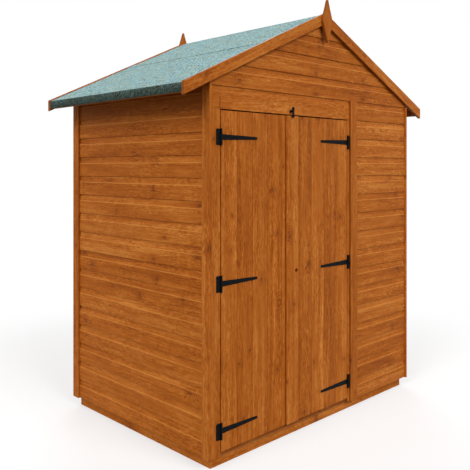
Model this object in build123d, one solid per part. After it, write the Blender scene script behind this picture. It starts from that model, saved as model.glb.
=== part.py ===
"""Small apex garden shed: shiplap walls, ledged and braced double doors in the front gable,
felted roof with bargeboards and finials, on a framed timber floor.

Millimetres. X runs along the front wall, Y from front to back, Z up from the ground.
The origin is on the ground at the centre of the walls.
"""
from build123d import *
from math import atan, ceil, cos, sin
import os

# Overall size, over the corner trims
width = 1800.0
depth = 1230.0

# Floor
base_inset = 35.0
bearer_height = 40.0
bearer_width = 45.0
joist_count = 5
deck_thickness = 12.0

# Shiplap boards
board_cover = 112.5
board_thickness = 12.0
wall_board_count = 16
cove_height = 37.0
cove_depth = 5.0

# Framing timber and trims
frame_depth = 28.0
frame_width = 45.0
back_stud_count = 3
trim_thickness = 12.0
corner_trim_width = 58.0
rear_trim_width = 46.0
back_trim_width = 58.0
joint_trim_width = 66.0

# Doors, between the post boards beside them
left_post_width = 68.0
right_post_width = 51.5
right_door_extra = 87.0
door_gap = 5.5
door_bottom = 74.0
door_top_gap = 6.5
panel_width = 600.0
saw_cut_height = 60.5
saw_cut_width = 3.5
header_gap = 2.0
tongue_cover = 112.5
groove_width = 5.0
groove_depth = 2.5
cover_strip_width = 94.0
cover_strip_thickness = 12.0
keyhole_diameter = 22.0
keyhole_height = 893.0
keyhole_edge = 16.0
ledge_height = 95.0
ledge_thickness = 16.0
ledge_inset = 28.0
brace_width = 70.0

# Tee hinges
hinge_bottom_margin = 102.0
hinge_top_margin = 130.0
hinge_metal = 2.4
hinge_pin_diameter = 6.0
hinge_fit = 0.05
leaf_width = 31.0
leaf_height = 80.0
leaf_corner = 4.0
strap_length = 260.0
strap_root = 28.0
strap_tip = 14.0
knuckle_gap = 0.4
pin_head_diameter = 9.0
pin_head_height = 1.6
housing_gap = 0.5

# Turn button over the doors
button_rise = 17.5
button_reach_up = 24.0
button_reach_down = 35.0
button_end_width = 20.0
button_waist_width = 13.0
button_thickness = 4.0
button_clearance = 5.5
button_boss_diameter = 14.0
button_seat_gap = 0.3
screw_diameter = 5.0
screw_head_diameter = 9.0
screw_head_height = 1.4
screw_fit = 0.05
screw_bite = 10.0

# Roof
roof_rise = 0.4545
eaves_rise = 59.5
eave_overhang = 172.0
bargeboard_reach = 7.0
bargeboard_depth = 58.5
bargeboard_thickness = 18.0
bargeboard_proud = 4.0
felt_thickness = 2.5
felt_lap = 60.0
ridge_felt_reach = 553.0
roof_board_thickness = 11.0
ridge_width = 28.0
ridge_depth = 70.0
eave_batten_width = 28.0
eave_band_depth = 41.5

# Finials
finial_thickness = 16.0
finial_shoulder_drop = 52.0
finial_upper = 123.0
finial_lower = 120.0
finial_half_width = 46.0
finial_tip_half = 2.5
finial_shoulder = 10.0
finial_hollow = 2.0

# Places worked out from the sizes
left_x = -width / 2
right_x = width / 2
front_y = -depth / 2
back_y = depth / 2
floor_top = bearer_height + deck_thickness
wall_top = floor_top + wall_board_count * board_cover
face_left = left_x + trim_thickness
face_right = right_x - trim_thickness
face_front = front_y + trim_thickness
face_back = back_y - trim_thickness
inner_left = face_left + board_thickness
inner_right = face_right - board_thickness
inner_front = face_front + board_thickness
inner_back = face_back - board_thickness
room_left = inner_left + frame_depth
room_right = inner_right - frame_depth
room_front = inner_front + frame_depth
room_back = inner_back - frame_depth

slope_x = cos(atan(roof_rise))
plumb = 1 / slope_x
deck_under_apex = wall_top + eaves_rise + face_right * roof_rise
deck_top_apex = deck_under_apex + roof_board_thickness * plumb
bargeboard_apex = deck_top_apex + (2 * felt_thickness + bargeboard_proud) * plumb
eave_x = face_right + eave_overhang

post_end_x = face_left + left_post_width
panel_start = face_right - panel_width
right_post_start = panel_start - right_post_width
left_door_width = (right_post_start - post_end_x - 3 * door_gap - right_door_extra) / 2
right_door_width = left_door_width + right_door_extra
doorway_middle = (post_end_x + right_post_start) / 2
left_hinge_x = post_end_x + door_gap / 2
left_door_start = post_end_x + door_gap
left_door_end = left_door_start + left_door_width
right_door_start = left_door_end + door_gap
trim_start = panel_start - joint_trim_width / 2
right_door_end = right_door_start + right_door_width
right_hinge_x = right_door_end + door_gap / 2
lintel_bottom = wall_top - board_cover
door_top = lintel_bottom - door_top_gap
hinge_low = door_bottom + hinge_bottom_margin
hinge_high = door_top - hinge_top_margin
hinge_heights = (hinge_low, (hinge_low + hinge_high) / 2, hinge_high)
button_height = lintel_bottom + button_rise

knuckle_radius = hinge_pin_diameter / 2 + hinge_fit + hinge_metal
hinge_y = face_front - knuckle_radius


def deck_under(x):
    """Height of the roof boards' underside at x."""
    return deck_under_apex - abs(x) * roof_rise


def deck_top(x):
    """Height of the roof boards' top at x."""
    return deck_top_apex - abs(x) * roof_rise


def block(x0, x1, y0, y1, z0, z1):
    """A square timber between two corners."""
    return Pos((x0 + x1) / 2, (y0 + y1) / 2, (z0 + z1) / 2) * Box(x1 - x0, y1 - y0, z1 - z0)


def along_y(points, y0, y1):
    """A closed outline of (x, z) points carried from y0 to y1."""
    outline = make_face(Polyline([(x, 0, z) for x, z in points], close=True))
    return Pos(0, y0, 0) * extrude(outline, amount=y1 - y0, dir=(0, 1, 0))


def save(name, solids):
    """Write one sub-part, of one solid or of several that don't touch."""
    pieces = solids if isinstance(solids, list) else [solids]
    bodies = [body for piece in pieces for body in piece.solids()]
    shape = bodies[0] if len(bodies) == 1 else Compound(children=bodies)
    shape.label = name
    export_step(shape, os.path.join("parts", name + ".step"))


def shiplap_face(z_start, boards):
    """Section of stacked shiplap boards: local x is the depth behind the face, local y the height.
    Each board is flat below and coved above, under the lip of the next one."""
    edges = []
    for index in range(boards):
        low = z_start + index * board_cover
        high = low + board_cover
        break_z = high - cove_height
        radius = (cove_height ** 2 + cove_depth ** 2) / (2 * cove_depth)
        half_turn = atan(cove_height / (radius - cove_depth)) / 2
        middle = (cove_depth - radius * (1 - cos(half_turn)), high - radius * sin(half_turn))
        edges.append(Line((0, low), (0, break_z)))
        edges.append(ThreePointArc((0, break_z), middle, (cove_depth, high)))
        if index < boards - 1:
            edges.append(Line((cove_depth, high), (0, high)))
    top = z_start + boards * board_cover
    edges.append(Line((cove_depth, top), (board_thickness, top)))
    edges.append(Line((board_thickness, top), (board_thickness, z_start)))
    edges.append(Line((board_thickness, z_start), (0, z_start)))
    return make_face(edges)


def shiplap_wall(face, direction, start, end, z_start, boards):
    """Shiplap cladding whose outer face lies at the given place and looks along direction
    ("front", "back", "left" or "right"), from start to end along the wall."""
    section = shiplap_face(z_start, boards)
    length = end - start
    if direction == "front":
        plane = Plane(origin=(start, face, 0), x_dir=(0, 1, 0), z_dir=(1, 0, 0))
    elif direction == "back":
        plane = Plane(origin=(end, face, 0), x_dir=(0, -1, 0), z_dir=(-1, 0, 0))
    elif direction == "left":
        plane = Plane(origin=(face, end, 0), x_dir=(1, 0, 0), z_dir=(0, -1, 0))
    else:
        plane = Plane(origin=(face, start, 0), x_dir=(-1, 0, 0), z_dir=(0, 1, 0))
    return plane * extrude(section, amount=length)


def under_roof(piece):
    """What is left of a piece below the roof boards."""
    reach = width
    low = -bearer_height
    outline = [(-reach, low), (reach, low), (reach, deck_under(reach)), (0, deck_under_apex),
               (-reach, deck_under(reach))]
    return piece & along_y(outline, 2 * front_y, 2 * back_y)


def floor_parts():
    """Two long bearers, cross joists between them, and the boarded deck."""
    x0 = left_x + base_inset
    x1 = right_x - base_inset
    y0 = front_y + base_inset
    y1 = back_y - base_inset
    save("floor_bearers", [
        block(x0, x1, y0, y0 + bearer_width, 0, bearer_height),
        block(x0, x1, y1 - bearer_width, y1, 0, bearer_height)])
    step = (x1 - x0 - bearer_width) / (joist_count - 1)
    save("floor_joists", [
        block(x0 + i * step, x0 + i * step + bearer_width, y0 + bearer_width, y1 - bearer_width,
              0, bearer_height)
        for i in range(joist_count)])
    save("floor_deck", block(x0, x1, y0, y1, bearer_height, floor_top))
    save("door_threshold", block(room_left, panel_start, inner_front, room_front,
                                 floor_top, door_bottom - door_gap))


def cladding_parts():
    """The shiplap skins of the four walls and the two gables."""
    side_boards = wall_board_count + ceil((deck_under(inner_right) - wall_top) / board_cover)
    gable_boards = ceil((deck_under_apex - wall_top) / board_cover)
    save("left_wall_cladding", under_roof(
        shiplap_wall(face_left, "left", inner_front, inner_back, floor_top, side_boards)))
    save("right_wall_cladding", under_roof(
        shiplap_wall(face_right, "right", inner_front, inner_back, floor_top, side_boards)))
    save("back_wall_cladding", shiplap_wall(
        face_back, "back", face_left, face_right, floor_top, wall_board_count))
    save("front_panel_cladding", shiplap_wall(
        face_front, "front", panel_start, face_right, floor_top, wall_board_count))
    save("front_gable_cladding", under_roof(
        shiplap_wall(face_front, "front", face_left, face_right, wall_top, gable_boards)))
    save("back_gable_cladding", under_roof(
        shiplap_wall(face_back, "back", face_left, face_right, wall_top, gable_boards)))


def doorway_boards():
    """The boards beside and over the doors, flush with them. The saw that cut the doorway ran
    on into the lintel board over the left post."""
    save("door_post_boards", [
        block(face_left, post_end_x, face_front, inner_front, floor_top, lintel_bottom),
        block(right_post_start, panel_start, face_front, inner_front, floor_top, lintel_bottom)])
    lintel = shiplap_wall(face_front, "front", face_left, panel_start, lintel_bottom, 1)
    saw_cut = block(post_end_x - saw_cut_width, post_end_x, face_front, inner_front,
                    lintel_bottom, lintel_bottom + saw_cut_height)
    bore = Pos(doorway_middle, face_front, button_height) * Rot(90, 0, 0) * Cylinder(
        screw_diameter / 2 + screw_fit, 2 * screw_bite)
    save("lintel_board", lintel - saw_cut - bore)


def frame_parts():
    """The studs and rails that the cladding is nailed to."""
    rail_top = wall_top - frame_width
    stud_bottom = floor_top + frame_width
    studs = []
    for x0, x1 in ((inner_left, room_left), (room_right, inner_right)):
        for y0 in (inner_front, -frame_width / 2, inner_back - frame_width):
            studs.append(block(x0, x1, y0, y0 + frame_width, stud_bottom, rail_top))
    bay = (room_right - room_left) / (back_stud_count + 1)
    for index in range(back_stud_count):
        x = room_left + bay * (index + 1)
        studs.append(block(x - frame_width / 2, x + frame_width / 2, room_back, inner_back,
                           stud_bottom, rail_top))
    save("wall_studs", studs)

    side_rails = []
    for x0, x1 in ((inner_left, room_left), (room_right, inner_right)):
        for z0 in (floor_top, rail_top):
            side_rails.append(block(x0, x1, inner_front, inner_back, z0, z0 + frame_width))
    save("side_wall_rails", side_rails)
    save("back_wall_rails", [
        block(room_left, room_right, room_back, inner_back, z0, z0 + frame_width)
        for z0 in (floor_top, rail_top)])

    threshold_top = door_bottom - door_gap
    save("front_posts", [
        block(room_left, post_end_x, inner_front, room_front, threshold_top, rail_top),
        block(right_post_start, panel_start, inner_front, room_front, threshold_top, rail_top),
        block(room_right - frame_width, room_right, inner_front, room_front,
              stud_bottom, rail_top)])
    header_bottom = lintel_bottom + header_gap
    save("front_rails", [
        block(post_end_x, right_post_start, inner_front, room_front,
              header_bottom, header_bottom + frame_width),
        block(room_left, room_right, inner_front, room_front, rail_top, wall_top),
        block(panel_start, room_right, inner_front, room_front, floor_top, stud_bottom)])


def roof_frame_parts():
    """Wall plates, gable rafters, ridge and purlins that carry the roof boards."""
    save("wall_plates", [
        under_roof(block(x0, x1, inner_front, inner_back, wall_top, bargeboard_apex))
        for x0, x1 in ((inner_left, room_left), (room_right, inner_right))])

    rafter_drop = frame_width * plumb
    for name, side in (("left", -1), ("right", 1)):
        far = side * room_right
        outline = [(0, deck_under_apex), (far, deck_under(far)), (far, deck_under(far) - rafter_drop),
                   (0, deck_under_apex - rafter_drop)]
        save("gable_rafters_" + name, [
            along_y(outline, inner_front, room_front),
            along_y(outline, room_back, inner_back)])

    half = ridge_width / 2
    purlin_x = room_right / 2
    ridge = under_roof(block(-half, half, room_front, room_back,
                             deck_under_apex - ridge_depth, deck_under_apex))
    purlins = [
        under_roof(block(side * purlin_x - half, side * purlin_x + half, room_front, room_back,
                         deck_under(purlin_x) - frame_width, deck_under_apex))
        for side in (-1, 1)]
    save("roof_purlins", [ridge] + purlins)

    band_bottom = deck_top(eave_x) - eave_band_depth
    battens = []
    for side in (-1, 1):
        outer = side * eave_x
        inner = side * (eave_x - eave_batten_width)
        outline = [(outer, band_bottom), (inner, band_bottom),
                   (inner, deck_under(inner)), (outer, deck_under(outer))]
        battens.append(along_y(outline, face_front, face_back))
    save("eave_battens", battens)


def roof_cover_parts():
    """The roof boards of each slope and the three strips of felt."""
    rise = felt_thickness * plumb
    band_bottom = deck_top(eave_x) - eave_band_depth
    seam = ridge_felt_reach * slope_x
    lap_x = seam - felt_lap * slope_x
    for name, side in (("left", -1), ("right", 1)):
        eave = side * eave_x
        boards = [(0, deck_under_apex), (0, deck_top_apex), (eave, deck_top(eave)),
                  (eave, deck_under(eave))]
        save("roof_deck_" + name, along_y(boards, face_front, face_back))
        outer = side * (eave_x + felt_thickness)
        felt = [(side * lap_x, deck_top(lap_x)), (side * lap_x, deck_top(lap_x) + rise),
                (outer, deck_top(outer) + rise), (outer, band_bottom),
                (eave, band_bottom), (eave, deck_top(eave))]
        save("felt_" + name, along_y(felt, face_front, face_back))

    step_x = lap_x - felt_thickness
    right = [(step_x, deck_top(step_x) + rise), (lap_x, deck_top(lap_x) + 2 * rise),
             (seam, deck_top(seam) + 2 * rise), (seam, deck_top(seam) + rise),
             (lap_x, deck_top(lap_x) + rise), (lap_x, deck_top(lap_x))]
    left = [(-x, z) for x, z in reversed(right)]
    outline = [(0, deck_top_apex + rise)] + right + [(0, deck_top_apex)] + left
    save("felt_ridge", along_y(outline, face_front, face_back))


def bargeboard_parts():
    """Plumb-cut bargeboards that meet at the apex."""
    drop = bargeboard_depth * plumb
    end = eave_x + bargeboard_reach
    low = bargeboard_apex - end * roof_rise
    for name, side in (("left", -1), ("right", 1)):
        outline = [(0, bargeboard_apex), (side * end, low), (side * end, low - drop),
                   (0, bargeboard_apex - drop)]
        save(name + "_bargeboards", [
            along_y(outline, face_front - bargeboard_thickness, face_front),
            along_y(outline, face_back, face_back + bargeboard_thickness)])


def finial_parts():
    """A long diamond with hollow upper flanks, rounded shoulders and a blunt tip."""
    wide_z = bargeboard_apex - finial_shoulder_drop
    top_z = wide_z + finial_upper
    bottom_z = wide_z - finial_lower
    right_top = (finial_tip_half, top_z)
    right_high = (finial_half_width - finial_hollow, wide_z + finial_shoulder)
    right_low = (finial_half_width - finial_hollow, wide_z - finial_shoulder)
    right_bottom = (finial_tip_half, bottom_z)
    flank_x = (right_top[0] + right_high[0]) / 2 - finial_hollow
    flank_z = (right_top[1] + right_high[1]) / 2
    outline = []
    for side in (1, -1):
        def at(point):
            return (side * point[0], 0, point[1])
        outline.append(ThreePointArc(at(right_top), at((flank_x, flank_z)), at(right_high)))
        outline.append(ThreePointArc(at(right_high), at((finial_half_width, wide_z)),
                                     at(right_low)))
        outline.append(Line(at(right_low), at(right_bottom)))
    for z in (top_z, bottom_z):
        outline.append(Line((-finial_tip_half, 0, z), (finial_tip_half, 0, z)))
    blade = extrude(make_face(outline), amount=finial_thickness, dir=(0, 1, 0))
    front_place = face_front - bargeboard_thickness - finial_thickness
    back_place = face_back + bargeboard_thickness
    save("finials", [Pos(0, front_place, 0) * blade, Pos(0, back_place, 0) * blade])


def trim_parts():
    """Corner trims on the side and back walls, and the trim over the front panels' joint."""
    sides = []
    for x0, x1 in ((left_x, face_left), (face_right, right_x)):
        sides.append(block(x0, x1, front_y, front_y + corner_trim_width, floor_top, wall_top))
        sides.append(block(x0, x1, face_back - rear_trim_width, face_back, floor_top, wall_top))
    save("side_trims", sides)
    save("back_trims", [
        block(left_x, left_x + back_trim_width, face_back, back_y, floor_top, wall_top),
        block(right_x - back_trim_width, right_x, face_back, back_y, floor_top, wall_top)])
    trim = block(trim_start, trim_start + joint_trim_width, front_y, face_front,
                 floor_top, wall_top)
    for height in hinge_heights:
        reach = leaf_height / 2 + housing_gap
        trim -= block(trim_start, right_hinge_x + leaf_width + housing_gap,
                      face_front - hinge_metal - housing_gap, face_front,
                      height - reach, height + reach)
    save("front_joint_trim", trim)


def door_boards(start, end, first_groove, step):
    """One door's boards, with the vee grooves between them on the outside."""
    leaf = block(start, end, face_front, inner_front, door_bottom, door_top)
    half = groove_width / 2
    x = first_groove
    while start + groove_width < x < end - groove_width:
        vee = make_face(Polyline([(x - half, face_front, door_bottom),
                                  (x + half, face_front, door_bottom),
                                  (x, face_front + groove_depth, door_bottom)], close=True))
        leaf -= extrude(vee, amount=door_top - door_bottom, dir=(0, 0, 1))
        x += step
    return leaf


def door_frame(start, end, hinge_side):
    """The ledges across a door's back and the braces that rise from its hinge side."""
    back = inner_front + ledge_thickness
    x0 = start + ledge_inset
    x1 = end - ledge_inset
    ledges = [block(x0, x1, inner_front, back, z - ledge_height / 2, z + ledge_height / 2)
              for z in hinge_heights]
    foot, head = (x0, x1) if hinge_side == "left" else (x1, x0)
    lean = brace_width if foot < head else -brace_width
    braces = []
    for low, high in zip(hinge_heights[:-1], hinge_heights[1:]):
        z0 = low + ledge_height / 2
        z1 = high - ledge_height / 2
        outline = [(foot, z0), (foot + lean, z0), (head, z1), (head - lean, z1)]
        braces.append(along_y(outline, inner_front, back))
    return ledges, braces


def hinge_barrel(low, high):
    """A rolled knuckle, bored for the pin, with its axis on the local Z axis."""
    tube = Cylinder(knuckle_radius, high - low, align=(Align.CENTER, Align.CENTER, Align.MIN))
    bore = Cylinder(knuckle_radius - hinge_metal, high - low,
                    align=(Align.CENTER, Align.CENTER, Align.MIN))
    return Pos(0, 0, low) * (tube - bore)


def hinge_leaf():
    """The fixed plate with its upper and lower knuckles, for a door that lies to +X of the pin."""
    half = leaf_height / 2
    middle = strap_root / 2 + knuckle_gap
    back = knuckle_radius
    plate = block(-leaf_width, 0, back - hinge_metal, back, -half, half)
    plate = chamfer(plate.edges().filter_by(Axis.Y).group_by(Axis.X)[0], leaf_corner)
    window = knuckle_radius + knuckle_gap
    plate -= block(-window, 0, back - hinge_metal, back, -middle, middle)
    bore = Cylinder(knuckle_radius - hinge_metal, leaf_height)
    leaf = plate - bore + hinge_barrel(middle, half) + hinge_barrel(-half, -middle)
    return leaf


def hinge_strap():
    """The tapered strap with its round tip and its middle knuckle, lying to +X of the pin."""
    root = strap_root / 2
    tip = strap_tip / 2
    back = knuckle_radius
    straight = strap_length - tip
    outline = [Line((0, back, -root), (straight, back, -tip)),
               ThreePointArc((straight, back, -tip), (strap_length, back, 0),
                             (straight, back, tip)),
               Line((straight, back, tip), (0, back, root)),
               Line((0, back, root), (0, back, -root))]
    plate = extrude(make_face(outline), amount=hinge_metal, dir=(0, -1, 0))
    bore = Cylinder(knuckle_radius - hinge_metal, strap_root)
    return plate - bore + hinge_barrel(-root, root)


def hinge_pin():
    """A pin through the three knuckles, with a peened head at each end."""
    half = leaf_height / 2
    shank = Cylinder(hinge_pin_diameter / 2, leaf_height)
    upper = Pos(0, 0, half + pin_head_height / 2) * Cylinder(pin_head_diameter / 2,
                                                             pin_head_height)
    lower = Pos(0, 0, -half - pin_head_height / 2) * Cylinder(pin_head_diameter / 2,
                                                              pin_head_height)
    return shank + upper + lower


def door_parts():
    """The two ledged and braced doors, with their hinges and the strip over their meeting edge."""
    ledges, braces = door_frame(left_door_start, left_door_end, "left")
    save("left_door_boards", door_boards(left_door_start, left_door_end,
                                         left_door_start + tongue_cover, tongue_cover))
    save("left_door_ledges", ledges)
    save("left_door_braces", braces)

    keyhole_x = right_door_start + cover_strip_width - keyhole_edge
    bore = Pos(keyhole_x, face_front, keyhole_height) * Rot(90, 0, 0) * Cylinder(
        keyhole_diameter / 2, 2 * (board_thickness + cover_strip_thickness))
    bore &= block(left_x, right_x, front_y - cover_strip_thickness, inner_front,
                  door_bottom, door_top)
    ledges, braces = door_frame(right_door_start, right_door_end, "right")
    save("right_door_boards", door_boards(right_door_start, right_door_end,
                                          right_door_end - tongue_cover, -tongue_cover) - bore)
    save("right_door_ledges", ledges)
    save("right_door_braces", braces)
    strip = block(right_door_start, right_door_start + cover_strip_width,
                  face_front - cover_strip_thickness, face_front, door_bottom, door_top)
    save("door_cover_strip", strip - bore)

    left_places = [Pos(left_hinge_x, hinge_y, z) for z in hinge_heights]
    right_places = [Pos(right_hinge_x, hinge_y, z) for z in hinge_heights]
    strap = hinge_strap()
    leaf = hinge_leaf()
    pin = hinge_pin()
    mirrored_strap = mirror(strap, about=Plane.YZ)
    mirrored_leaf = mirror(leaf, about=Plane.YZ)
    save("left_hinge_straps", [place * strap for place in left_places])
    save("right_hinge_straps", [place * mirrored_strap for place in right_places])
    save("hinge_leaves", [place * leaf for place in left_places]
         + [place * mirrored_leaf for place in right_places])
    save("hinge_pins", [place * pin for place in left_places + right_places])


def turn_button_parts():
    """A waisted bar on a boss that holds it clear of the cover strip, and its screw."""
    bar_back = face_front - cover_strip_thickness - button_clearance
    bar_front = bar_back - button_thickness
    end = button_end_width / 2
    waist = button_waist_width / 2
    up = button_reach_up - end
    down = button_reach_down - end
    outline = [ThreePointArc((-end, 0, up), (0, 0, up + end), (end, 0, up)),
               ThreePointArc((end, 0, up), (waist, 0, 0), (end, 0, -down)),
               ThreePointArc((end, 0, -down), (0, 0, -down - end), (-end, 0, -down)),
               ThreePointArc((-end, 0, -down), (-waist, 0, 0), (-end, 0, up))]
    bar = Pos(0, bar_front, 0) * extrude(make_face(outline), amount=button_thickness,
                                         dir=(0, 1, 0))
    boss_length = face_front - button_seat_gap - bar_back
    boss = Pos(0, bar_back + boss_length / 2, 0) * Rot(90, 0, 0) * Cylinder(
        button_boss_diameter / 2, boss_length)
    bore = Rot(90, 0, 0) * Cylinder(screw_diameter / 2 + screw_fit, depth * 2)
    place = Pos(doorway_middle, 0, button_height)
    save("turn_button", place * (bar + boss - bore))

    shank_front = bar_front - screw_fit
    shank_back = face_front + screw_bite
    shank = Pos(0, (shank_front + shank_back) / 2, 0) * Rot(90, 0, 0) * Cylinder(
        screw_diameter / 2, shank_back - shank_front)
    head = Pos(0, shank_front - screw_head_height / 2, 0) * Rot(90, 0, 0) * Cylinder(
        screw_head_diameter / 2, screw_head_height)
    save("turn_button_screw", place * (shank + head))


os.makedirs("parts", exist_ok=True)
floor_parts()
cladding_parts()
doorway_boards()
frame_parts()
roof_frame_parts()
roof_cover_parts()
bargeboard_parts()
finial_parts()
trim_parts()
door_parts()
turn_button_parts()
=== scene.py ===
"""Dressed model of a small apex garden shed: stained shiplap walls, ledged and braced double
doors on black tee hinges, and a boarded roof under green mineral felt.

Metres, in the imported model's frame: X along the front, Y from front to back, Z up.
"""

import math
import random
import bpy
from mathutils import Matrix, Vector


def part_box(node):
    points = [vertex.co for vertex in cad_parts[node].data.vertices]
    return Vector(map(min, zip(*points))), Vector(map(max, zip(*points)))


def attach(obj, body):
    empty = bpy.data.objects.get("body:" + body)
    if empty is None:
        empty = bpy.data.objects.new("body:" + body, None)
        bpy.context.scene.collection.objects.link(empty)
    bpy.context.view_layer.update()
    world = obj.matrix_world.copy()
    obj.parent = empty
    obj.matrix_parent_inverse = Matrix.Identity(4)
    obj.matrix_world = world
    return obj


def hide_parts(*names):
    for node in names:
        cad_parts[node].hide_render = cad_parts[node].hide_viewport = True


bl_info = {
    "name": "Apex garden shed",
    "version": (1, 0, 0),
    "blender": (4, 5, 0),
    "location": "View3D > Sidebar > Shed",
    "description": "Builds the boards, doors, roof and ironwork of a shiplap shed",
    "category": "Object",
}

import bmesh
import bpy
from bpy.props import FloatProperty, FloatVectorProperty, IntProperty, PointerProperty
from mathutils import Matrix, Vector, noise

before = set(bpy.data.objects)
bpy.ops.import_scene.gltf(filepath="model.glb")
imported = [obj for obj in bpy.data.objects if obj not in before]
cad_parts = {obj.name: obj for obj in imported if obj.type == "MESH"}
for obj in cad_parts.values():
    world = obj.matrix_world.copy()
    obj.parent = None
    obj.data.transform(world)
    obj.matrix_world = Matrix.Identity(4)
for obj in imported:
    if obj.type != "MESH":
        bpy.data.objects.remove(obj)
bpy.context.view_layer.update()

FLOOR_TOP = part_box("floor_deck")[1].z
WALL_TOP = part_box("back_wall_cladding")[1].z
ROOF_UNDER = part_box("front_gable_cladding")[1].z
LEFT_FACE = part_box("left_wall_cladding")[0].x
FRONT_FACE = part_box("front_gable_cladding")[0].y
ALONG_X, ALONG_Y, UP = Vector((1, 0, 0)), Vector((0, 1, 0)), Vector((0, 0, 1))

# The photo's size, focal length and principal point in pixels, and its camera's place and way
PHOTO_SIZE = 470
FOCAL_LENGTH = 639.67
PRINCIPAL_POINT = (216.0, 166.5)
CAMERA_PLACE = (-2.970, -2.835, 1.4593)
CAMERA_WAY = (0.6890, 0.7248, 0)

# Each soft lamp's direction and strength
LAMPS = {"left_softbox": ((-0.85, -0.12, 0.54), 1.73),
         "front_softbox": ((0.02, -0.85, 0.60), 1.82),
         "back_fill": ((0.70, 0.85, 0.45), 1.2)}
LAMP_ANGLE = math.radians(36)
WORLD_LIGHT = 0.45

# The timber's pattern: how far apart the boards' logs may start in metres, the knots' cells for
# each metre along and across the grain, and the growth rings for each metre
LOG_LENGTH = 60
KNOT_CELLS = (2.6, 9.0)
RINGS_PER_METRE = 190.0


class ShedSizes(bpy.types.PropertyGroup):
    """Sizes of the boards, joints and fixings."""
    cover: FloatProperty(name="Board cover", description="Height that one wall board covers",
                         default=0.1125, unit="LENGTH")
    thickness: FloatProperty(name="Board thickness", description="Thickness of the wall boards",
                             default=0.012, unit="LENGTH")
    cove_height: FloatProperty(name="Cove height", default=0.037, unit="LENGTH",
                               description="Height of the hollow above each board's face")
    cove_depth: FloatProperty(name="Cove depth", default=0.005, unit="LENGTH",
                              description="Depth of the hollow under the next board's lip")
    tongue: FloatProperty(name="Tongue", default=0.008, unit="LENGTH",
                          description="How far a board runs up behind the next one's lip")
    joint: FloatProperty(name="Joint", default=0.0006, unit="LENGTH",
                         description="Open width of a joint between two boards")
    edge: FloatProperty(name="Edge", default=0.0014, unit="LENGTH",
                        description="Softening of planed and sawn edges")
    trim_edge: FloatProperty(name="Trim edge", description="Softening of the trims' edges",
                             default=0.0018, unit="LENGTH")
    strip_edge: FloatProperty(name="Strip edge", default=0.0022, unit="LENGTH",
                              description="Softening of the edges of the doors' cover strip")
    iron_edge: FloatProperty(name="Iron edge", description="Easing of the hinges' edges",
                             default=0.0004, unit="LENGTH")
    # Reach of the pale arris line, which is paler stain and a painted highlight
    arris_stain_and_highlight_reach: FloatProperty(name="Wear", description="Reach of the thin stain beside a board's arris",
                        default=0.003, unit="LENGTH")
    plank: FloatProperty(name="Floor and roof boards", default=0.1125, unit="LENGTH",
                         description="Width of a board in the floor and the roof")
    roof_rise: FloatProperty(name="Roof rise", default=0.4545,
                             description="Rise of the roof for each metre across")
    felt: FloatProperty(name="Felt", description="Thickness of the roofing felt",
                        default=0.0025, unit="LENGTH")
    felt_fold: FloatProperty(name="Felt fold", default=0.005, unit="LENGTH",
                             description="Radius of the felt's fold over the eave")
    felt_wave: FloatProperty(name="Felt wave", default=0.0009, unit="LENGTH",
                             description="Unevenness of the felt on its boards")
    nail: FloatProperty(name="Nail head", description="Diameter of the nail heads",
                        default=0.0045, unit="LENGTH")
    nail_height: FloatProperty(name="Nail height", default=0.0003, unit="LENGTH",
                               description="How far a nail head stands out")
    screw: FloatProperty(name="Screw head", description="Diameter of the hinges' screw heads",
                         default=0.0085, unit="LENGTH")
    screw_height: FloatProperty(name="Screw height", default=0.0009, unit="LENGTH",
                                description="How far a screw head stands out")
    seed: IntProperty(name="Seed", description="Start of the random draws", default=7)


def colour(name, value, description):
    """A colour setting, in linear light."""
    return FloatVectorProperty(name=name, description=description, subtype="COLOR",
                               size=4, default=(*value, 1.0), min=0, max=1)


class ShedColours(bpy.types.PropertyGroup):
    """Colours of the stain, the bare timber, the felt and the iron."""
    stain: colour("Stain", (0.435, 0.117, 0.0125), "Orange-brown stain on planed boards")
    stain_deep: colour("Deep stain", (0.225, 0.047, 0.0035), "Stain in the dark rings and pores")
    stain_pale: colour("Pale stain", (0.64, 0.238, 0.047), "Stain on the pale early wood")
    knot: colour("Knot", (0.075, 0.018, 0.006), "Heart of a knot")
    sawn: colour("Sawn timber", (0.40, 0.155, 0.045), "Treated frame inside the shed")
    sawn_deep: colour("Deep sawn timber", (0.24, 0.08, 0.02), "Rings in the sawn frame")
    sawn_pale: colour("Pale sawn timber", (0.55, 0.26, 0.095), "Early wood in the sawn frame")
    felt: colour("Felt", (0.250, 0.359, 0.331), "Mineral granules on the felt")
    felt_cool: colour("Cool granules", (0.214, 0.379, 0.417), "Bluish patches in the granules")
    # Painted shade for the felt where it folds down at the eave
    felt_band_painted_shade: colour("Felt band", (0.015, 0.020, 0.009), "Felt where it is folded at the eave")
    iron: colour("Iron", (0.004, 0.005, 0.0055), "Black powder coat")
    steel: colour("Nails", (0.10, 0.06, 0.035), "Dull nail heads in the stain")
    backdrop: colour("Backdrop", (1, 1, 1), "Plain studio backdrop")


# Node helpers

def add(tree, kind, inputs=None, **settings):
    """A shader node with its settings, its inputs linked or set, as its first output."""
    made = tree.nodes.new("ShaderNode" + kind)
    for key, value in settings.items():
        setattr(made, key, value)
    for key, value in (inputs or {}).items():
        if isinstance(value, bpy.types.NodeSocket):
            tree.links.new(value, made.inputs[key])
        else:
            made.inputs[key].default_value = value
    return made.outputs[0]


def output(tree, kind, which, inputs=None, **settings):
    """A shader node as its output with a given name or number."""
    add(tree, kind, inputs, **settings)
    return tree.nodes[-1].outputs[which]


def calc(tree, operation, *values):
    """A maths node on one, two or three values."""
    return add(tree, "Math", dict(enumerate(values)), operation=operation)


def vector(tree, operation, *values):
    """A vector maths node on two vectors."""
    return add(tree, "VectorMath", dict(enumerate(values)), operation=operation)


def length(tree, source):
    """The length of a vector."""
    return output(tree, "VectorMath", "Value", {0: source}, operation="LENGTH")


def scaled(tree, source, sizes):
    """A vector stretched along its axes."""
    return add(tree, "Mapping", {"Vector": source, "Scale": sizes})


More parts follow.
